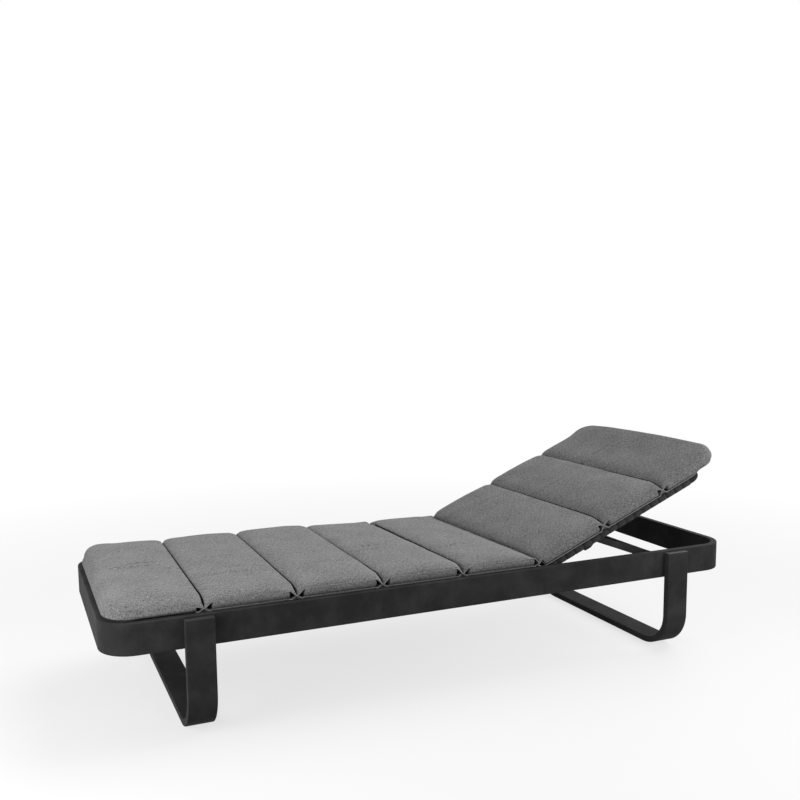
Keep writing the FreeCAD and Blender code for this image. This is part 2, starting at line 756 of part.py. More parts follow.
def make_mattress():
    half_gap = seam_gap / 2
    corner_reach = (hoop_corner - band_thick) / 2
    foot_lifted = band_thick - mattress_foot_inset + corner_reach
    for i in range(seat_section_count):
        x0 = mattress_foot + i * section_pitch
        x1 = x0 + section_pitch - half_gap
        first, last, settling = seam_end, seam_end, []
        if i == 0:
            first, settling = free_end(foot_lifted), stations(foot_lifted, end_settle)
        else:
            x0 = x0 + half_gap
        if i == seat_section_count - 1:
            x1, last = hinge_x - crease_setback, crease_end
        save("mattress_section_%d" % (i + 1), [padded_section(x0, x1, first, last, settling)])
    head_lifted = mattress_head - hoop_length / 2 + band_thick + corner_reach
    for i in range(back_section_count):
        x0 = crease_x + i * back_section_pitch + half_gap
        x1 = x0 + back_section_pitch - seam_gap
        first, last, settling = seam_end, seam_end, []
        if i == 0:
            x0, first = hinge_x + crease_setback, crease_end
        if i == back_section_count - 1:
            x1, last = mattress_head, free_end(head_lifted)
            settling = [x1 - x0 - distance for distance in stations(head_lifted, end_settle)]
        solid = padded_section(x0, x1, first, last, settling)
        save("mattress_section_%d" % (seat_section_count + i + 1), [raised(solid)])


os.makedirs("parts", exist_ok=True)
make_hoop()
make_hoop_joints()
make_leg("foot_leg", foot_leg_x)
make_leg("head_leg", head_leg_x)
make_leg_fittings()
make_seat_frame()
make_hinges()
make_back_frame()
make_stay()
make_stay_brackets()
make_racks()
make_mattress()
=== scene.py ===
import bpy
import json
from math import cos, exp, pi, radians, sin, sqrt
from mathutils import Matrix, Vector, noise


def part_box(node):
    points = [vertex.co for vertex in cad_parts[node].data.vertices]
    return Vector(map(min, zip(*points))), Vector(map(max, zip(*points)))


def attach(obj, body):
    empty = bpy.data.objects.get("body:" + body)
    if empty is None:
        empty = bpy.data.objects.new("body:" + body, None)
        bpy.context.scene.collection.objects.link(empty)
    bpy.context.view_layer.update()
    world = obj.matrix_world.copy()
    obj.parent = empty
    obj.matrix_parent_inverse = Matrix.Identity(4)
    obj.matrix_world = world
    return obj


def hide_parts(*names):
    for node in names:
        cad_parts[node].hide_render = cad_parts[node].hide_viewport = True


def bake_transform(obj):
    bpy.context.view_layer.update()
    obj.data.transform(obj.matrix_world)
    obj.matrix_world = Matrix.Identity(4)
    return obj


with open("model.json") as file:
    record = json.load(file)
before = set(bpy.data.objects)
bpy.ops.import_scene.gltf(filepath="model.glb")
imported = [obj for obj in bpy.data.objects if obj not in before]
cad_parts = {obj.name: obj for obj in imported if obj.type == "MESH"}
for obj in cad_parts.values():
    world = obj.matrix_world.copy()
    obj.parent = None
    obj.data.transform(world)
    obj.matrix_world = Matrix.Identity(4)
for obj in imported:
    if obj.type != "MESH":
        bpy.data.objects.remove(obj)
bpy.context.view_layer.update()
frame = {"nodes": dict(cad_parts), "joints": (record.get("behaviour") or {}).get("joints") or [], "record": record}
print("frame loaded:", len(frame["nodes"]), "nodes")


# small helpers

def clamp(value):
    return max(0.0, min(1.0, value))


def smooth(value):
    value = clamp(value)
    return value * value * (3 - 2 * value)


def quarterRound(share):
    share = clamp(share)
    return sqrt(1 - (1 - share) ** 2)


def mix(a, b, share):
    return a + (b - a) * share


def grey(level):
    return (level, level, level, 1)


def newMesh(name, points, faces, uvs=None):
    mesh = bpy.data.meshes.new(name)
    mesh.from_pydata(points, [], faces)
    mesh.validate()
    if uvs:
        layer = mesh.uv_layers.new(name="cloth")
        for loop in mesh.loops:
            layer.data[loop.index].uv = uvs[loop.vertex_index]
    for face in mesh.polygons:
        face.use_smooth = True
    piece = bpy.data.objects.new(name, mesh)
    bpy.context.scene.collection.objects.link(piece)
    return piece


# node groups shared by the materials

def groupWith(name, inputs):
    # a group with the given inputs; all groups put out the same three
    group = bpy.data.node_groups.new(name, "ShaderNodeTree")
    for label, kind, value in [("Vector", "NodeSocketVector", None)] + inputs:
        socket = group.interface.new_socket(label, in_out="INPUT", socket_type=kind)
        if value is not None:
            socket.default_value = value
    for label, kind in (("Color", "NodeSocketColor"), ("Height", "NodeSocketFloat"),
                        ("Roughness", "NodeSocketFloat")):
        group.interface.new_socket(label, in_out="OUTPUT", socket_type=kind)
    return group, group.nodes.new("NodeGroupInput"), group.nodes.new("NodeGroupOutput")


def setOrLink(tree, socket, value):
    if isinstance(value, (int, float)):
        socket.default_value = value
    else:
        tree.links.new(value, socket)


def mathNode(tree, operation, *values):
    node = tree.nodes.new("ShaderNodeMath")
    node.operation = operation
    for socket, value in zip(node.inputs, values):
        setOrLink(tree, socket, value)
    return node.outputs[0]


def timesNode(tree, value, factor):
    return mathNode(tree, "MULTIPLY", value, factor)


def sumNode(tree, first, *others):
    total = first
    for value in others:
        total = mathNode(tree, "ADD", total, value)
    return total


def mixColour(tree, share, first, second):
    node = tree.nodes.new("ShaderNodeMix")
    node.data_type = "RGBA"
    tree.links.new(share, node.inputs["Factor"])
    tree.links.new(first, node.inputs[6])  # the node's two colours
    tree.links.new(second, node.inputs[7])
    return node.outputs[2]  # the mixed colour


def noiseNode(tree, vector, scale, detail, roughness):
    node = tree.nodes.new("ShaderNodeTexNoise")
    node.inputs["Detail"].default_value = detail
    node.inputs["Roughness"].default_value = roughness
    setOrLink(tree, node.inputs["Scale"], scale)
    tree.links.new(vector, node.inputs["Vector"])
    return node.outputs[0]


def stretched(tree, vector, scale):
    node = tree.nodes.new("ShaderNodeMapping")
    node.inputs["Scale"].default_value = scale
    tree.links.new(vector, node.inputs["Vector"])
    return node.outputs[0]


def spread(tree, value, low, high):
    node = tree.nodes.new("ShaderNodeMapRange")
    tree.links.new(value, node.inputs["Value"])
    node.inputs["From Min"].default_value = low
    node.inputs["From Max"].default_value = high
    return node.outputs[0]


def putOut(group, outlet, colour, height, roughness):
    group.links.new(colour, outlet.inputs["Color"])
    group.links.new(height, outlet.inputs["Height"])
    group.links.new(roughness, outlet.inputs["Roughness"])


# woven cloth: two sets of slubby threads, heathered light and dark
weaveLook = {
    # stretch of the two sets of threads, and their noise as scale, detail, roughness
    "along": (90, 900, 200), "across": (520, 100, 200), "slub": (1.0, 2.0, 0.6),
    "speckle": (900.0, 2.0, 0.65), "blotch": (12.0, 3.0, 0.55),
    # how much of each goes into the heather, and the heather's values for dark and for light
    "alongShare": 0.34, "acrossShare": 0.30, "speckleShare": 0.30, "blotchShare": 0.06,
    "heather": (0.41, 0.59),
    "weaveHeight": 0.6, "heatherHeight": 0.7, "rough": 0.80, "roughLight": 0.14,
}


def makeClothGroup():
    group, inlet, outlet = groupWith("wovenCloth", [
        ("Dark", "NodeSocketColor", grey(0.1)), ("Light", "NodeSocketColor", grey(0.3)),
        ("Threads", "NodeSocketFloat", 900.0)])
    place = inlet.outputs["Vector"]
    layers = {key: noiseNode(group, stretched(group, place, weaveLook[key]), *weaveLook["slub"])
              for key in ("along", "across")}
    for key in ("speckle", "blotch"):
        layers[key] = noiseNode(group, place, *weaveLook[key])
    shares = [timesNode(group, layer, weaveLook[key + "Share"]) for key, layer in layers.items()]
    heather = sumNode(group, *shares)
    share = spread(group, heather, *weaveLook["heather"])
    colour = mixColour(group, share, inlet.outputs["Dark"], inlet.outputs["Light"])
    split = group.nodes.new("ShaderNodeSeparateXYZ")
    group.links.new(place, split.inputs[0])
    waves = []
    for axis in (0, 1):
        angle = timesNode(group, split.outputs[axis], inlet.outputs["Threads"])
        waves.append(mathNode(group, "SINE", timesNode(group, angle, 2 * pi)))
    threads = mathNode(group, "ABSOLUTE", timesNode(group, *waves))
    height = sumNode(group, timesNode(group, threads, weaveLook["weaveHeight"]),
                     timesNode(group, heather, weaveLook["heatherHeight"]))
    rough = sumNode(group, weaveLook["rough"], timesNode(group, share, weaveLook["roughLight"]))
    putOut(group, outlet, colour, height, rough)
    return group


# fine grain of a coating, with soft smudges and flecks, used on metal and plastic
grainLook = {
    # detail and roughness of the grain; scale, detail and roughness of the others
    "grain": (3.0, 0.6), "smudge": (11.0, 5.0, 0.62), "fleck": (160.0, 2.0, 0.5),
    "smudgeRange": (0.40, 0.72), "fleckRange": (0.66, 0.80),
    # how much each one wears the colour, and roughens the surface
    "smudgeWear": 0.62, "fleckWear": 0.35, "grainWear": 0.18, "smudgeRough": 0.12, "grainRough": 0.10,
}


def makeGrainGroup():
    group, inlet, outlet = groupWith("coatGrain", [
        ("Base", "NodeSocketColor", grey(0.03)), ("Worn", "NodeSocketColor", grey(0.06)),
        ("Grain", "NodeSocketFloat", 900.0), ("Rough", "NodeSocketFloat", 0.5)])
    place = inlet.outputs["Vector"]
    grain = noiseNode(group, place, inlet.outputs["Grain"], *grainLook["grain"])
    smudge = noiseNode(group, place, *grainLook["smudge"])
    fleck = noiseNode(group, place, *grainLook["fleck"])
    smudged = spread(group, smudge, *grainLook["smudgeRange"])
    flecked = spread(group, fleck, *grainLook["fleckRange"])
    worn = sumNode(group, timesNode(group, smudged, grainLook["smudgeWear"]),
                   timesNode(group, flecked, grainLook["fleckWear"]),
                   timesNode(group, grain, grainLook["grainWear"]))
    colour = mixColour(group, worn, inlet.outputs["Base"], inlet.outputs["Worn"])
    rough = sumNode(group, inlet.outputs["Rough"], timesNode(group, smudge, grainLook["smudgeRough"]),
                    timesNode(group, grain, grainLook["grainRough"]))
    putOut(group, outlet, colour, grain, rough)
    return group


clothGroup = makeClothGroup()
grainGroup = makeGrainGroup()


# materials

def finishWith(name, group, vectorOutput, values, bump, shine):
    material = bpy.data.materials.new(name)
    material.use_nodes = True
    tree = material.node_tree
    shader = tree.nodes["Principled BSDF"]
    place = tree.nodes.new("ShaderNodeTexCoord")
    effect = tree.nodes.new("ShaderNodeGroup")
    effect.node_tree = group
    tree.links.new(place.outputs[vectorOutput], effect.inputs["Vector"])
    for label, value in values.items():
        effect.inputs[label].default_value = value
    tree.links.new(effect.outputs["Color"], shader.inputs["Base Color"])
    tree.links.new(effect.outputs["Roughness"], shader.inputs["Roughness"])
    relief = tree.nodes.new("ShaderNodeBump")
    strength, distance = bump
    relief.inputs["Strength"].default_value = strength
    relief.inputs["Distance"].default_value = distance
    tree.links.new(effect.outputs["Height"], relief.inputs["Height"])
    tree.links.new(relief.outputs["Normal"], shader.inputs["Normal"])
    for label, value in shine.items():
        shader.inputs[label].default_value = value
    return material


def clothFinish(name, dark, light, threads, bump, shine):
    values = {"Dark": grey(dark), "Light": grey(light), "Threads": threads}
    return finishWith(name, clothGroup, "UV", values, bump, shine)


def coatFinish(name, base, worn, grain, rough, bump, shine):
    values = {"Base": grey(base), "Worn": grey(worn), "Grain": grain, "Rough": rough}
    return finishWith(name, grainGroup, "Object", values, bump, shine)


mattressCloth = clothFinish("heatheredCloth", dark=0.035, light=0.405, threads=620.0, bump=(0.18, 0.0006),
                            shine={"Sheen Weight": 0.08, "Sheen Roughness": 0.5, "Specular IOR Level": 0.15})
# lighter copy of the cloth for the welts: painted highlight of the sewn edges catching light
weltLitCloth = clothFinish("weltLitCloth", dark=0.21, light=0.43, threads=800.0, bump=(0.3, 0.0004),
                        shine={"Sheen Weight": 0.08, "Specular IOR Level": 0.15})
# nearly black copy of the cloth: painted shade inside the seams' slits, and on the shaded wall rings and hem of
# the foot section
seamShadeCloth = clothFinish("seamShadeCloth", dark=0.015, light=0.045, threads=800.0, bump=(0.2, 0.0004),
                        shine={"Specular IOR Level": 0.05})
# nearly black copy of the cloth: painted shade in the pockets where the welts cross, and along the stitched line
# of the side wall
pocketShadeCloth = clothFinish("pocketShadeCloth", dark=0.004, light=0.016, threads=800.0, bump=(0.2, 0.0004),
                          shine={"Specular IOR Level": 0.03})
strapCloth = clothFinish("strapWebbing", dark=0.032, light=0.090, threads=500.0, bump=(0.5, 0.0006),
                         shine={"Specular IOR Level": 0.2})
powderCoat = coatFinish("powderCoat", base=0.0335, worn=0.076, grain=1400.0, rough=0.50, bump=(0.18, 0.0003),
                        shine={"Specular IOR Level": 0.02})
mouldedPlastic = coatFinish("mouldedPlastic", base=0.018, worn=0.034, grain=2200.0, rough=0.44,
                            bump=(0.10, 0.0002), shine={"Specular IOR Level": 0.3})
plainSteel = coatFinish("plainSteel", base=0.42, worn=0.55, grain=3000.0, rough=0.26, bump=(0.08, 0.0001),
                        shine={"Metallic": 1.0})
slotFinish = {"frame_coating": powderCoat, "black_plastic": mouldedPlastic, "fastener_steel": plainSteel,
              "webbing": strapCloth, "cushion_fabric": mattressCloth}
for entry in frame["record"]["subparts"]:
    node = frame["nodes"][entry["node"]]
    node.data.materials.clear()
    node.data.materials.append(slotFinish[entry["material_slot"]])
print("materials done")


# mattress: drawn flat along s, then its head part is turned up about the hinge
recline = [joint for joint in frame["joints"] if joint["name"] == "backrest_recline"][0]
pad = {
    "hinge": (recline["pos_m"][0], recline["pos_m"][2]),
    "turn": radians(-recline["range_deg"][0]),
    # plan: the two ends, half the width, corners at the foot and the head, seams, and the one over the hinge
    "foot": -0.981, "head": 1.037, "half": 0.338, "corner": (0.080, 0.066),
    "seams": (-0.733, -0.480, -0.227, 0.026, 0.290, 0.550, 0.790), "crease": 4,
    # underside over the floor, thickness, and how far the side walls bulge
    "bottom": 0.3162, "thick": 0.0615, "bulge": 0.0040,
    # rounding of the top across and along a section, and how much of the second the far side loses
    "crown": 0.0010, "sectionCrown": 0.0065, "crownLost": 0.7,
    # one value for each section from the foot: top of the side wall, roll of the top edge,
    # how much fuller the far side is, and how much that falls from the foot end to the head end
    "wallTop": (0.030, 0.039, 0.041, 0.041, 0.041, 0.034, 0.033, 0.032),
    "shoulder": (0.060, 0.050, 0.046, 0.046, 0.046, 0.052, 0.054, 0.056),
    "farFull": (0.0065, 0.0025, 0.0010, -0.0125, -0.0165, 0.0040, 0.0055, 0.0040),
    "farTilt": (0.0, 0.0, 0.0, 0.016, 0.006, 0.0, 0.0, 0.0),
    # a far side that is flatter than this lowers its wall too
    "farSpare": 0.0090,
    # extra fullness of the head end, how far it reaches, and how square it is across
    "headFull": 0.015, "headFullReach": 0.15, "headFullSquare": 0.6,
    # wall top and roll at the foot end and at the head end; where they start to change, and over what length
    "endWallTop": (0.034, 0.042), "endShoulder": (0.026, 0.018), "endFrom": 0.030, "endReach": 0.080,
    # how far in from an edge the top keeps to the wall, and the cloth's threads follow the roll
    "edgeReach": 0.06, "clothReach": 0.08,
    # on the seat and on the back: height of the hem, height where the welts cross, how far the hem is in;
    # then the length over which they change at the hinge
    "hem": (0.0140, 0.0070), "crossing": (0.0225, 0.0225), "hemInset": (0.009, 0.005), "changeReach": 0.03,
    # how far the hem is in at the two ends, and how much further from the head end that begins
    "footInset": -0.006, "headInset": 0.006, "headInsetMore": 0.025,
    # least heights: hem over the lifted underside, crossing over the hem, and one welt over the other there
    "hemOver": 0.001, "crossingOver": 0.004, "weltGap": 0.0008,
    # each seam is a narrow slit between a short slope on its foot side and a longer one on its head side
    "seamFloor": 0.010, "slit": 0.0034, "slope": (0.030, 0.046), "slopeShare": (0.12, 0.29),
    # it opens towards the near side, and towards the far side with two slopes, from a share of the width on
    "sideSlope": 0.010, "farSlope": (0.024, 0.030), "openFrom": 0.84, "openReach": 0.14,
    # painted shade inside the slits: reach on the foot side and the head side, share of the width
    "slitShade": (0.0013, 0.0024), "slitAcross": 0.965,
    # the seam over the hinge is wider, by a part of that at the wall; the length of its bend,
    # and half the length of the fold from one body to the other
    "creaseFloor": 0.016, "creaseHalf": 0.006, "creaseWall": 0.6, "bend": 0.012, "foldHalf": 0.008,
    # how much lower the head edge of a section is, at the near side and at the far side
    "headDrop": (0.007, 0.003), "creaseDrop": (0.020, 0.010), "dropReach": 0.090,
    # crossed ends of the welts at a seam: reach of the arms, softness of the near ones, reach of the legs
    "armReach": 0.021, "armSoft": 0.4, "hemReach": 0.014,
    # the pocket between them: depth at the near side and at the far side, where it begins and ends,
    # how square it is, how much of the tuck it takes away, and the part that gets painted shade
    "pocket": (0.032, 0.012), "pocketStart": 0.006, "pocketReach": 0.0165, "pocketFade": 0.0055,
    "pocketSquare": 6, "pocketTuck": 0.6, "pocketShadeRange": (0.0035, 0.0190),
    # the part of a corner's length that has no pocket and no stitched line
    "cornerPlain": 0.5,
    # how far the hem is drawn in at a seam
    "drawIn": 0.003, "drawReach": 0.03,
    # the two ends lie raised on the hoop, and their wall tops rise by a part of that
    "lift": 0.0148, "footLifted": 0.040, "headLifted": 0.085, "settle": 0.050, "liftedWall": 0.2,
    # underside: rise at a seam's ends and over the hinge, each with its reach, and roll up to the hem
    "underRise": 0.003, "underReach": 0.03, "creaseRise": 0.004, "creaseReach": 0.04, "underRoll": 0.020,
    # the mattress lies a little askew: its far side is nearer the foot, and further out on the back
    "askew": 0.017, "askewReach": 0.9, "farOut": 0.008,
    # stitched line in the side wall: depth, then its ring and its rings of painted shade over the hem, on seat and
    # back
    "groove": 0.0030, "grooveRing": (2, 1), "stitchShadeRings": ((2,), (1, 2)),
    # rings of the foot section's wall that get painted shade
    "shadedRings": 2,
    # uneven stuffing, a soft set and a fine one: lumps in a metre, layer of the noise, height
    "lumps": ((9, 1.7, 0.0016), (28, 5.1, 0.0005)),
    # small folds in a seam and beside it: step between seams, folds in a metre, layer of the noise, height
    "pucker": (7.3, 26, 0.4, 0.0035), "ridge": (3.1, 45, 8.0, 0.0013), "ridgeRise": 0.012, "ridgeFade": 0.05,
    # wrinkles: how they fade at their ends, the rim on both sides, and the width that sharp ones are under
    "wrinkleFade": 0.7, "wrinkleRim": 1.6, "sharpWrinkle": 0.006,
    # how they wander: turns in a metre along and across, layer of the noise, most of it, share of the width
    "wander": (12, 40, 3.3), "wanderMost": 0.003, "wanderShare": 0.4,
    # mesh: columns in each half, length of a row, steps round a corner, rings down the wall,
    # then columns in the width of a sharp wrinkle, their reach in widths, and the widths kept clear for them
    "columns": 44, "rowStep": 0.013, "cornerSteps": 15, "levels": 12,
    "finePerWidth": 3, "fineReach": 2, "fineClear": 2.2,
}
sectionEdges = [pad["foot"], *pad["seams"], pad["head"]]
# material slots of the mattress: plain cloth, then painted shade in the slits and under the foot section, then
# darker painted shade in the pockets and stitched lines
mattressCloths = (mattressCloth, seamShadeCloth, pocketShadeCloth)
plainFace, shadeFace, pocketShadeFace = range(len(mattressCloths))  # their material slots
# lengthwise wrinkles: section, place across, from and to as shares of the section, depth, width
wrinkles = (
    (0, -0.012, 0.32, 0.82, 0.0066, 0.0038), (0, 0.024, 0.38, 0.74, 0.0060, 0.0038),  # two sharp creases
    (0, 0.000, 0.10, 0.44, 0.0030, 0.014), (0, -0.044, 0.60, 0.98, 0.0030, 0.014),
    (1, -0.172, 0.10, 0.95, 0.0042, 0.013), (1, 0.010, 0.18, 0.74, 0.0034, 0.014),
    (1, -0.120, 0.30, 0.98, 0.0028, 0.014), (2, -0.180, 0.20, 0.92, 0.0030, 0.014),
    (3, -0.043, 0.04, 0.50, 0.0046, 0.012), (3, -0.090, 0.04, 0.52, 0.0042, 0.012),
    (3, 0.060, 0.30, 0.90, 0.0022, 0.014), (4, -0.150, 0.05, 0.48, 0.0028, 0.013),
    (5, 0.162, 0.20, 0.84, 0.0016, 0.014), (6, 0.010, 0.10, 0.70, 0.0022, 0.012),
    (7, 0.054, 0.08, 0.62, 0.0024, 0.012), (7, 0.020, 0.20, 0.70, 0.0014, 0.013),
)


def stationsAlong():
    # rows of the mesh, close together beside the seams and round the corners
    besideSeam = [0, 0.0005, 0.0013, 0.0024, 0.0038, 0.0055, 0.008, 0.011, 0.014, 0.017, 0.0195, 0.022,
                  0.0255, 0.030, 0.036, 0.045]
    steps = pad["cornerSteps"]
    turns = [1 - cos(radians(90 * i / steps)) for i in range(steps + 1)]
    footEnd, headEnd = ([corner * turn for turn in turns] for corner in pad["corner"])
    places = []
    for index, (start, stop) in enumerate(zip(sectionEdges, sectionEdges[1:])):
        first = footEnd if index == 0 else besideSeam
        last = headEnd if stop == pad["head"] else besideSeam
        places += [start + d for d in first]
        low, high = start + first[-1], stop - last[-1]
        count = max(2, int((high - low) / pad["rowStep"]))
        places += [mix(low, high, i / count) for i in range(1, count)]
        places += [stop - d for d in reversed(last[1:])]
    places.append(pad["head"])
    return places


def columnsAcross():
    # columns of the mesh as shares of the half width, close together at the sides and at sharp wrinkles
    besideEdge = [0, 0.0012, 0.003, 0.0055, 0.009, 0.0135, 0.019, 0.0255, 0.033, 0.042]
    half = [pad["half"] - d for d in besideEdge]
    half += [half[-1] * (1 - i / pad["columns"]) for i in range(1, pad["columns"])]
    places = [-v for v in half] + [0.0] + half
    fineCount = pad["fineReach"] * pad["finePerWidth"]
    for wrinkle in wrinkles:
        place, width = wrinkle[1], wrinkle[-1]
        if width < pad["sharpWrinkle"]:
            fine = [place + width * i / pad["finePerWidth"] for i in range(-fineCount, fineCount + 1)]
            places = [v for v in places if abs(v - place) > width * pad["fineClear"]] + fine
    return [v / pad["half"] for v in sorted(places)]


def endDistance(s):
    return s - pad["foot"], pad["head"] - s


def footOrHead(s, key):
    # a size that differs between the foot end and the head end
    toFoot, toHead = endDistance(s)
    return pad[key][0] if toFoot < toHead else pad[key][1]


def halfWidth(s):
    # plan outline, round at the four corners
    d = min(endDistance(s))
    corner = footOrHead(s, "corner")
    if d >= corner:
        return pad["half"]
    return pad["half"] - corner + sqrt(max(0.0, corner ** 2 - (corner - d) ** 2))


def edgeDistance(s, y):
    # distance in from the plan outline
    d = min(endDistance(s))
    side = pad["half"] - abs(y)
    corner = footOrHead(s, "corner")
    if d < corner and side < corner:
        return corner - sqrt((corner - d) ** 2 + (corner - side) ** 2)
    return min(d, side)


def farShare(y):
    # 0 at the near side, 1 at the far side
    return clamp((y + pad["half"]) / (2 * pad["half"]))


def seamAt(s):
    # distance to the nearest seam, and its number
    gaps = [abs(s - seam) for seam in pad["seams"]]
    gap = min(gaps)
    return gap, gaps.index(gap)


def headSide(s, number):
    # 1 on the head side of a seam, 0 on its foot side
    return 1 if s > pad["seams"][number] else 0


def sectionAt(s):
    # number of the section that s lies in
    return sum(1 for seam in pad["seams"] if s >= seam)


def alongSection(s):
    # 0 at the foot end of the section that s lies in, 1 at its head end
    start, stop = sectionEdges[sectionAt(s)], sectionEdges[sectionAt(s) + 1]
    return (s - start) / (stop - start)


def onBack(s):
    # 0 on the seat, 1 on the back
    return 1 if sectionAt(s) > pad["crease"] else 0


def wallGap(s):
    # distance to the nearest seam as the side wall has it
    gap, number = seamAt(s)
    if number == pad["crease"]:
        return max(0.0, gap - pad["creaseHalf"] * pad["creaseWall"])
    return gap


def liftAt(s):
    toFoot, toHead = endDistance(s)
    foot = 1 - smooth((toFoot - pad["footLifted"]) / pad["settle"])
    head = 1 - smooth((toHead - pad["headLifted"]) / pad["settle"])
    return pad["lift"] * max(foot, head)


def seatOrBack(s, key):
    # a size that changes at the hinge, from the seat to the back
    seat, back = pad[key]
    return mix(seat, back, smooth((s - pad["seams"][pad["crease"]]) / pad["changeReach"] + 0.5))


def hemInsetAt(s):
    # how far the hem is tucked in: at the foot it stands out a little, where it lies on the rail
    toFoot, toHead = endDistance(s)
    inset = seatOrBack(s, "hemInset")
    inset = mix(pad["footInset"], inset, smooth((toFoot - pad["footLifted"]) / pad["settle"]))
    headFrom = pad["headLifted"] + pad["headInsetMore"]
    return mix(pad["headInset"], inset, smooth((toHead - headFrom) / pad["settle"]))


def endOrSide(s, sides, ends):
    # a size that changes from its value along the sides to another at the two ends
    share = smooth((min(endDistance(s)) - pad["endFrom"]) / pad["endReach"])
    return mix(footOrHead(s, ends), pad[sides][sectionAt(s)], share)


def seamFullness(s, y):
    # 0 in the seam, 1 on the full section; the slit opens towards the sides
    gap, number = seamAt(s)
    side = headSide(s, number)
    if number == pad["crease"]:
        gap -= pad["creaseHalf"]
    wide = pad["farSlope"][side] if y > 0 else pad["sideSlope"]
    slit = mix(pad["slit"], wide, smooth((abs(y) / pad["half"] - pad["openFrom"]) / pad["openReach"]))
    return mix(quarterRound(gap / slit), quarterRound(gap / pad["slope"][side]), pad["slopeShare"][side])


def wallHeights(s, y):
    # heights of the hem and of the top of the side wall; both meet where a seam ends
    gap = wallGap(s)
    lift = liftAt(s)
    low = max(seatOrBack(s, "hem"), lift + pad["hemOver"])
    arm = clamp(gap / pad["armReach"])
    arm = quarterRound(arm) if y > 0 else mix(arm, smooth(arm), pad["armSoft"])
    leg = clamp(gap / pad["hemReach"])
    crossing = max(seatOrBack(s, "crossing"), low + pad["crossingOver"])
    high = endOrSide(s, "wallTop", "endWallTop") + lift * pad["liftedWall"]
    high += min(0.0, pad["farFull"][sectionAt(s)] + pad["farSpare"]) * farShare(y)
    return mix(crossing, low, leg), mix(crossing + pad["weltGap"], high, arm)


def unevenness(s, y):
    total = 0.0
    for often, layer, height in pad["lumps"]:
        total += noise.noise(Vector((s * often, y * often, layer))) * height
    return total


def foldsAt(key, number, y, shift=0):
    # small folds along a seam, with others at each seam
    step, often, layer, height = pad[key]
    return noise.noise(Vector((number * step + shift, y * often, layer))) * height


def wrinkleAt(s, y):
    here, share = sectionAt(s), alongSection(s)
    oftenAlong, oftenAcross, layer = pad["wander"]
    total = 0.0
    for section, place, low, high, depth, width in wrinkles:
        if section != here or not low < share < high:
            continue
        fade = sin(pi * (share - low) / (high - low)) ** pad["wrinkleFade"]
        wander = noise.noise(Vector((s * oftenAlong, place * oftenAcross, layer)))
        wander *= min(pad["wanderMost"], width * pad["wanderShare"])
        across = (y - place - wander) / width
        total -= depth * fade * (1 - pad["wrinkleRim"] * across ** 2) * exp(-across ** 2)
    return total


def fullHeight(s, y):
    # top of a section without its seams, wrinkles and rolled edges
    gap, number = seamAt(s)
    section, along, far = sectionAt(s), alongSection(s), farShare(y)
    full = pad["thick"] - pad["crown"] * (y / pad["half"]) ** 2
    full -= pad["sectionCrown"] * (2 * along - 1) ** 2 * (1 - pad["crownLost"] * far)
    full += (pad["farFull"][section] + pad["farTilt"][section] * (0.5 - along)) * far
    atHead = 1 - smooth((pad["head"] - s) / pad["headFullReach"])
    full += pad["headFull"] * sin(pi * far) ** pad["headFullSquare"] * atHead
    if number == section:  # the nearest seam is at the section's head end
        drop = pad["creaseDrop"] if number == pad["crease"] else pad["headDrop"]
        full -= mix(*drop, far) * (1 - smooth(gap / pad["dropReach"]))
    return full


def topHeight(s, y):
    gap, number = seamAt(s)
    floor = pad["creaseFloor"] if number == pad["crease"] else pad["seamFloor"]
    fullness = seamFullness(s, y)
    pucker = foldsAt("pucker", number, y) * (1 - fullness)
    beside = smooth(gap / pad["ridgeRise"]) * (1 - smooth((gap - pad["ridgeRise"]) / pad["ridgeFade"]))
    ridge = foldsAt("ridge", number, y, headSide(s, number)) * beside
    height = mix(floor + pucker, fullHeight(s, y), fullness)
    height += (unevenness(s, y) + wrinkleAt(s, y)) * fullness + ridge
    wallTop = wallHeights(s, y)[1]
    edge = edgeDistance(s, y)
    height = max(height, mix(wallTop, floor, smooth(edge / pad["edgeReach"])))
    return mix(wallTop, height, quarterRound(edge / endOrSide(s, "shoulder", "endShoulder")))


def underHeight(s, y):
    gap, number = seamAt(s)
    edge = edgeDistance(s, y)
    atSide = 1 - smooth(edge / pad["edgeReach"])
    rise = pad["underRise"] * (1 - quarterRound(gap / pad["underReach"])) * atSide
    if number == pad["crease"]:
        rise += pad["creaseRise"] * (1 - smooth(gap / pad["creaseReach"]))
    inside = clamp((edge - hemInsetAt(s)) / pad["underRoll"])
    return mix(wallHeights(s, y)[0], liftAt(s) + rise, quarterRound(inside))


def turnedUp(x, y, z, turn):
    # a point turned up about the hinge
    hingeX, hingeZ = pad["hinge"]
    dx, dz = x - hingeX, z - hingeZ
    return (hingeX + dx * cos(turn) - dz * sin(turn), y, hingeZ + dx * sin(turn) + dz * cos(turn))


def settlePoint(s, y, height):
    # flat drawing to the resting shape
    share = smooth((s - pad["seams"][pad["crease"]]) / pad["bend"] + 0.5)
    far = farShare(y)
    x = s - pad["askew"] * far * smooth((s - pad["foot"]) / pad["askewReach"])
    return turnedUp(x, y + pad["farOut"] * far * share, pad["bottom"] + height, pad["turn"] * share)


def fallTo(height):
    return max(0.0, pad["thick"] - height)


def clothPlace(s, y, height):
    # place on the cloth: it runs on down the roll of the nearest edge
    toFoot, toHead = endDistance(s)
    side = pad["half"] - abs(y)
    fall = fallTo(height)
    if side < min(toFoot, toHead):
        return s, y + (fall if y > 0 else -fall) * (1 - smooth(side / pad["clothReach"]))
    return s + (-fall if toFoot < toHead else fall), y


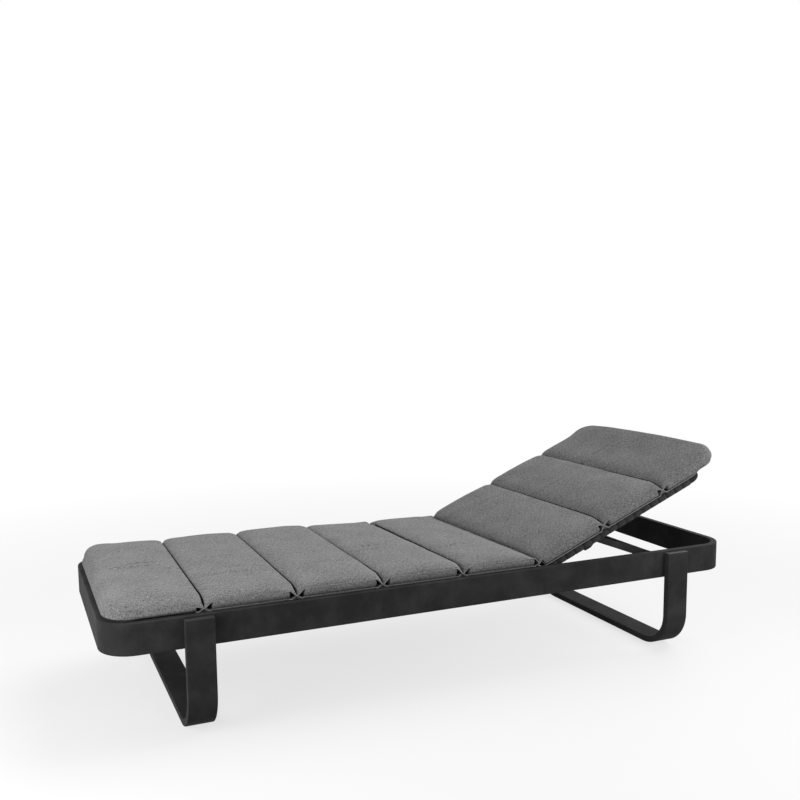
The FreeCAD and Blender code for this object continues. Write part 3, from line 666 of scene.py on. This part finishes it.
def outlineOf(rows, columns):
    # border of the grid as (row, column), once round
    last, far = len(rows) - 1, len(columns) - 1
    loop = [(i, 0) for i in range(last + 1)]
    loop += [(last, j) for j in range(1, far + 1)]
    loop += [(i, far) for i in range(last - 1, -1, -1)]
    loop += [(0, j) for j in range(far - 1, 0, -1)]
    return loop


def outwardWays(border):
    # plan directions out of the border, all round
    ways = []
    for index in range(len(border)):
        before, after = border[index - 1], border[(index + 1) % len(border)]
        along = Vector((after[0] - before[0], after[1] - before[1]))
        along.normalize()
        ways.append((along.y, -along.x))
    return ways


def wallPoint(s, y, way, step):
    # a point of the side wall, step by step down to the hem, and its place on the cloth
    share = 1 - step / pad["levels"]
    gap = wallGap(s)
    onSide = min(endDistance(s)) > footOrHead(s, "corner") * pad["cornerPlain"]
    closed = smooth((gap - pad["pocketReach"]) / pad["pocketFade"]) if onSide else 1.0
    opened = 1 - closed
    depth = pad["pocket"][0 if y < 0 else 1] * opened * smooth(gap / pad["pocketStart"])
    hollow = clamp(pad["pocketSquare"] * share * (1 - share)) * depth
    tuck = hemInsetAt(s) * (1 - share) ** 2 * (1 - pad["pocketTuck"] * opened)
    out = pad["bulge"] * sin(pi * share) * closed - tuck - hollow
    out -= pad["drawIn"] * (1 - smooth(gap / pad["drawReach"])) * (1 - share)
    if onSide and step == pad["levels"] - pad["grooveRing"][onBack(s)]:
        out -= pad["groove"] * closed
    low, high = wallHeights(s, y)
    height = mix(low, high, share)
    wayX, wayY = way
    point = settlePoint(s + wayX * out, y + wayY * out, height)
    return point, (s + wayX * fallTo(height), y + wayY * fallTo(height))


def topFace(s, across):
    # cloth of a face of the top: painted shade inside the slits
    gap, number = seamAt(s)
    inSlit = gap < pad["slitShade"][headSide(s, number)]
    return shadeFace if inSlit and abs(across) < pad["slitAcross"] else plainFace


def wallFace(s, step):
    # cloth of a face of the side wall: painted shade in the pockets, in the stitched line and under the foot
    # section
    gap = seamAt(s)[0]
    section = sectionAt(s)
    onSide = min(endDistance(s)) > footOrHead(s, "corner")
    overHem = pad["levels"] - 1 - step
    shadeLow, shadeHigh = pad["pocketShadeRange"]
    if overHem > 0 and shadeLow < gap < shadeHigh:
        return pocketShadeFace
    # painted shade on the rings of the stitched line
    if onSide and section > 0 and overHem in pad["stitchShadeRings"][onBack(s)]:
        return pocketShadeFace
    # painted shade on the lowest rings of the foot section's wall
    return shadeFace if section == 0 and overHem < pad["shadedRings"] else plainFace


def makeMattress():
    rows, columns = stationsAlong(), columnsAcross()
    plan = {(i, j): (s, v * halfWidth(s)) for i, s in enumerate(rows) for j, v in enumerate(columns)}
    loop = outlineOf(rows, columns)
    border = [plan[key] for key in loop]
    points, uvs, faces, cloths = [], [], [], []

    def addPoint(point, place):
        points.append(point)
        uvs.append(place)
        return len(points) - 1

    def addFace(corners, cloth):
        faces.append(corners)
        cloths.append(cloth)

    top, under = {}, {}
    for key, (s, y) in plan.items():
        height = topHeight(s, y)
        top[key] = addPoint(settlePoint(s, y, height), clothPlace(s, y, height))
    onBorder = set(loop)
    for key, (s, y) in plan.items():
        if key in onBorder:
            continue
        inner = y * (1 - hemInsetAt(s) / pad["half"])
        under[key] = addPoint(settlePoint(s, inner, underHeight(s, inner)), (s, y))
    ways = outwardWays(border)
    rings = [[top[key] for key in loop]]
    for step in range(1, pad["levels"] + 1):
        rings.append([addPoint(*wallPoint(s, y, way, step)) for (s, y), way in zip(border, ways)])
    under.update(zip(loop, rings[-1]))
    for i in range(len(rows) - 1):
        middle = (rows[i] + rows[i + 1]) / 2
        for j in range(len(columns) - 1):
            cloth = topFace(middle, columns[j])
            addFace((top[i, j], top[i + 1, j], top[i + 1, j + 1], top[i, j + 1]), cloth)
            addFace((under[i, j], under[i, j + 1], under[i + 1, j + 1], under[i + 1, j]), plainFace)
    for step, (upper, lower) in enumerate(zip(rings, rings[1:])):
        for index in range(len(border)):
            after = (index + 1) % len(border)
            middle = (border[index][0] + border[after][0]) / 2
            addFace((upper[index], lower[index], lower[after], upper[after]), wallFace(middle, step))
    piece = newMesh("mattress", points, faces, uvs)
    for cloth in mattressCloths:
        piece.data.materials.append(cloth)
    for face, cloth in zip(piece.data.polygons, cloths):
        face.material_index = cloth
    topEdge, hem = ([points[index] for index in ring] for ring in (rings[0], rings[-1]))
    return piece, border, topEdge, hem


mattress, border, topEdge, hem = makeMattress()
print("mattress done:", len(mattress.data.vertices), "points")


# welts: thin sewn edges that run once round the mattress, in a lighter cloth as painted highlight
welt = {
    "top": 0.0013, "hem": 0.0020, "sides": 8, "clothStep": 0.0012,
    # the top welt is thin, and thicker at the seams and along the middle sections
    "thin": 0.25, "middle": 0.8, "middleSections": (2, 3, 4), "seamReach": 0.020, "seamFade": 0.025,
    # the hem of the foot section gets painted shade, as the rail's shade on it, but for its end at the seam
    "shadedFrom": 0.025,
}


def topWeltShare(s):
    atSeam = 1 - smooth((seamAt(s)[0] - welt["seamReach"]) / welt["seamFade"])
    inMiddle = welt["middle"] if sectionAt(s) in welt["middleSections"] else 0.0
    return max(welt["thin"], atSeam, inMiddle)


# where the hem welt gets painted shade
def hemShaded(s):
    return sectionAt(s) == 0 and seamAt(s)[0] > welt["shadedFrom"]


def makeWelt(name, line, radii, shaded):
    sides, count = welt["sides"], len(line)
    points, faces, uvs = [], [], []
    length = 0.0
    for index in range(count):
        here, before = Vector(line[index]), Vector(line[index - 1])
        way = Vector(line[(index + 1) % count]) - before
        way.normalize()
        side = way.cross(Vector((0, 0, 1)))
        side.normalize()
        up = side.cross(way)
        length += (here - before).length if index else 0.0
        for k in range(sides):
            a = 2 * pi * k / sides
            points.append(here + (side * cos(a) + up * sin(a)) * radii[index])
            uvs.append((length, k * welt["clothStep"]))
    for index in range(count):
        start, after = index * sides, (index + 1) % count * sides
        for k in range(sides):
            other = (k + 1) % sides
            faces.append((start + k, after + k, after + other, start + other))
    piece = newMesh(name, points, faces, uvs)
    piece.data.materials.append(weltLitCloth)
    # the shaded part of the hem welt takes the dark cloth: painted shade
    if any(shaded):
        piece.data.materials.append(seamShadeCloth)
        for face in piece.data.polygons:
            face.material_index = 1 if shaded[face.index // sides] else 0
    return piece


topRadii = [welt["top"] * topWeltShare(s) for s, y in border]
topWelt = makeWelt("mattressTopWelt", topEdge, topRadii, [False] * len(border))
hemWelt = makeWelt("mattressHemWelt", hem, [welt["hem"]] * len(border), [hemShaded(s) for s, y in border])
print("welts done")


# straps of the seat and back, each stretched over the side tubes and wrapped round them
strap = {
    "thick": 0.0015, "width": 0.030, "gap": 0.004, "sag": 0.0016, "edge": 0.0006,
    "tube": 0.01005, "side": 0.315, "wrapTurn": 195.0,  # radius and place of the side tubes, wrap in degrees
    "seatField": 15, "backFrom": 0.322, "backTo": 0.915,  # straps in each seat field, stretch of the back's
    "wrapSteps": 22, "spanSteps": 24,
}


def strapLine():
    # centre line of one strap across the deck, as (y, z) with the outward normal
    radius = strap["tube"] + strap["thick"] / 2
    steps = strap["wrapSteps"]
    line = []
    for i in range(steps + 1):
        a = radians(90 - strap["wrapTurn"] * (1 - i / steps))
        line.append((strap["side"] + radius * cos(a), radius * sin(a), cos(a), sin(a)))
    for i in range(1, strap["spanSteps"]):
        y = strap["side"] * (1 - 2 * i / strap["spanSteps"])
        line.append((y, radius - strap["sag"] * (1 - (y / strap["side"]) ** 2), 0.0, 1.0))
    for i in range(steps + 1):
        a = radians(90 + strap["wrapTurn"] * i / steps)
        line.append((-strap["side"] + radius * cos(a), radius * sin(a), cos(a), sin(a)))
    return line


def strapSection():
    # cross-section with rounded edges, as (across, up)
    half, edge, width = strap["thick"] / 2, strap["edge"], strap["width"]
    below = [(0, -half + edge), (edge, -half), (width / 2, -half)]
    below += [(width - edge, -half), (width, -half + edge)]
    return below + [(across, -up) for across, up in reversed(below)]


def makeStraps(name, starts, turn):
    line, section = strapLine(), strapSection()
    n = len(section)
    tubeZ = pad["hinge"][1]  # the side tubes are level with the hinge
    points, faces, uvs = [], [], []
    for start in starts:
        base = len(points)
        run = 0.0
        for index, (y, z, ny, nz) in enumerate(line):
            if index:
                run += sqrt((y - line[index - 1][0]) ** 2 + (z - line[index - 1][1]) ** 2)
            for across, up in section:
                points.append(turnedUp(start + across, y + ny * up, tubeZ + z + nz * up, turn))
                uvs.append((across, run))
        for index in range(len(line) - 1):
            a, b = base + index * n, base + (index + 1) * n
            for k in range(n):
                other = (k + 1) % n
                faces.append((a + k, a + other, b + other, b + k))
        faces.append(tuple(base + k for k in reversed(range(n))))
        faces.append(tuple(base + (len(line) - 1) * n + k for k in range(n)))
    piece = newMesh(name, points, faces, uvs)
    piece.data.materials.append(strapCloth)
    return piece


def seatStarts():
    # two fields of straps, from the two ends of the seat's webbing
    low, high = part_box("seat_straps")
    pitch = strap["width"] + strap["gap"]
    fromFoot = [low.x + i * pitch for i in range(strap["seatField"])]
    fromHinge = [high.x - strap["width"] - i * pitch for i in range(strap["seatField"])]
    return fromFoot + fromHinge


def backStarts():
    # as many straps as fit along the back, drawn flat
    pitch = strap["width"] + strap["gap"]
    first, stop = strap["backFrom"], strap["backTo"]
    count = int((stop - first + strap["gap"]) / pitch)
    offset = (first + stop - count * pitch + strap["gap"]) / 2
    return [offset + i * pitch for i in range(count)]


seatWebbing = makeStraps("seatWebbing", seatStarts(), 0.0)
backWebbing = makeStraps("backWebbing", backStarts(), pad["turn"])
print("straps done")

# riding and replacing
for piece in (mattress, topWelt, hemWelt):
    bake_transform(piece)
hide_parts(*["mattress_section_%d" % (i + 1) for i in range(8)])
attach(seatWebbing, "base")
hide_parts("seat_straps")
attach(backWebbing, "backrest")
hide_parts("back_straps")


# floor, light and camera
studio = {
    "floorSize": 14.0, "floorShade": 0.86, "floorBounce": 0.30, "floorRough": 0.9, "floorShine": 0.1,
    "clearFrom": 1.6, "clearTo": 3.2, "glow": 0.72, "worldLight": 0.26,
    "keyAngle": 44.5, "keySide": 0.22, "keyFar": 4.0, "keySpread": 50.0, "keyStrength": 2.20,
    # a small fill by each end: place, target, watts
    "fills": {"footFill": ((-2.00, -0.75, 0.80), (-0.7, 0.0, 0.35), 16.0),
              "headFill": ((1.35, -1.55, 0.85), (0.75, -0.3, 0.48), 9.0)},
    "fillSize": 1.1,
}


def seenRays(tree):
    # rays that show the backdrop itself: the camera's, and those mirrored or let through
    path = tree.nodes.new("ShaderNodeLightPath")
    seen = mathNode(tree, "MAXIMUM", path.outputs["Is Camera Ray"], path.outputs["Is Glossy Ray"])
    return mathNode(tree, "MAXIMUM", seen, path.outputs["Is Transmission Ray"])


def mixShaders(tree, share, first, second, output):
    blend = tree.nodes.new("ShaderNodeMixShader")
    tree.links.new(share, blend.inputs[0])
    tree.links.new(first.outputs[0], blend.inputs[1])
    tree.links.new(second.outputs[0], blend.inputs[2])
    tree.links.new(blend.outputs[0], tree.nodes[output].inputs["Surface"])


def makeFloor():
    half = studio["floorSize"] / 2
    corners = [(-half, -half, 0), (half, -half, 0), (half, half, 0), (-half, half, 0)]
    piece = newMesh("floor", corners, [(0, 1, 2, 3)])
    material = bpy.data.materials.new("paleFloor")
    material.use_nodes = True
    tree = material.node_tree
    shader = tree.nodes["Principled BSDF"]
    shader.inputs["Roughness"].default_value = studio["floorRough"]
    shader.inputs["Specular IOR Level"].default_value = studio["floorShine"]
    glow = tree.nodes.new("ShaderNodeEmission")
    glow.inputs["Color"].default_value = grey(1.0)
    seen = seenRays(tree)
    # pale where it is seen, and darker to the light it throws back up
    shade = timesNode(tree, seen, studio["floorShade"] - studio["floorBounce"])
    tree.links.new(sumNode(tree, shade, studio["floorBounce"]), shader.inputs["Base Color"])
    # it glows where it is seen, and most of all away from the lounger
    place = tree.nodes.new("ShaderNodeTexCoord")
    reach = tree.nodes.new("ShaderNodeVectorMath")
    reach.operation = "LENGTH"
    tree.links.new(place.outputs["Object"], reach.inputs[0])
    fade = spread(tree, reach.outputs["Value"], studio["clearFrom"], studio["clearTo"])
    fade = sumNode(tree, timesNode(tree, fade, 1 - studio["glow"]), studio["glow"])
    mixShaders(tree, timesNode(tree, seen, fade), shader, glow, "Material Output")
    piece.data.materials.append(material)


def makeWorld():
    world = bpy.data.worlds.new("studio")
    bpy.context.scene.world = world
    world.use_nodes = True
    tree = world.node_tree
    light = tree.nodes["Background"]
    white = tree.nodes.new("ShaderNodeBackground")
    for backdrop, strength in ((light, studio["worldLight"]), (white, 1.0)):
        backdrop.inputs["Color"].default_value = grey(1.0)
        backdrop.inputs["Strength"].default_value = strength
    mixShaders(tree, seenRays(tree), light, white, "World Output")


def hangLamp(name, kind, place, target):
    data = bpy.data.lights.new(name, kind)
    lamp = bpy.data.objects.new(name, data)
    bpy.context.scene.collection.objects.link(lamp)
    lamp.location = place
    lamp.rotation_mode = "QUATERNION"
    lamp.rotation_quaternion = (Vector(target) - Vector(place)).to_track_quat("-Z", "Y")
    return data


def makeLamps():
    # a wide soft light from above the head end, and the fills
    tilt = radians(studio["keyAngle"])
    place = Vector((sin(tilt), studio["keySide"], cos(tilt))) * studio["keyFar"]
    key = hangLamp("overhead", "SUN", place, (0, 0, 0))
    key.angle = radians(studio["keySpread"])
    key.energy = studio["keyStrength"]
    for name, (place, target, watts) in studio["fills"].items():
        fill = hangLamp(name, "AREA", place, target)
        fill.shape = "DISK"
        fill.size = studio["fillSize"]
        fill.energy = watts


# the photo's camera: place in metres, angles in degrees, focal length and centre in its pixels
view = {
    "place": (-1.198233, -2.611629, 1.095296), "yaw": 21.678, "pitch": 7.365, "roll": -0.892,
    "focal": 908.874, "centreX": 358.685, "centreY": 430.309, "image": 800.0, "sensor": 36.0,
}


def makeCamera():
    yaw, pitch, roll = (radians(view[key]) for key in ("yaw", "pitch", "roll"))
    ahead = Vector((sin(yaw) * cos(pitch), cos(yaw) * cos(pitch), -sin(pitch)))
    right = Vector((cos(yaw), -sin(yaw), 0))
    up = right.cross(ahead)
    across = right * cos(roll) + up * sin(roll)
    upright = up * cos(roll) - right * sin(roll)
    data = bpy.data.cameras.new("camera")
    data.sensor_width = view["sensor"]
    data.lens = view["focal"] / view["image"] * view["sensor"]
    data.shift_x = (view["image"] / 2 - view["centreX"]) / view["image"]
    data.shift_y = (view["centreY"] - view["image"] / 2) / view["image"]
    camera = bpy.data.objects.new("camera", data)
    bpy.context.scene.collection.objects.link(camera)
    turned = Matrix((across, upright, -ahead)).transposed()
    camera.matrix_world = Matrix.Translation(view["place"]) @ turned.to_4x4()
    bpy.context.scene.camera = camera


makeFloor()
makeWorld()
makeLamps()
makeCamera()
bpy.context.scene.view_settings.view_transform = "Standard"
print("studio done")
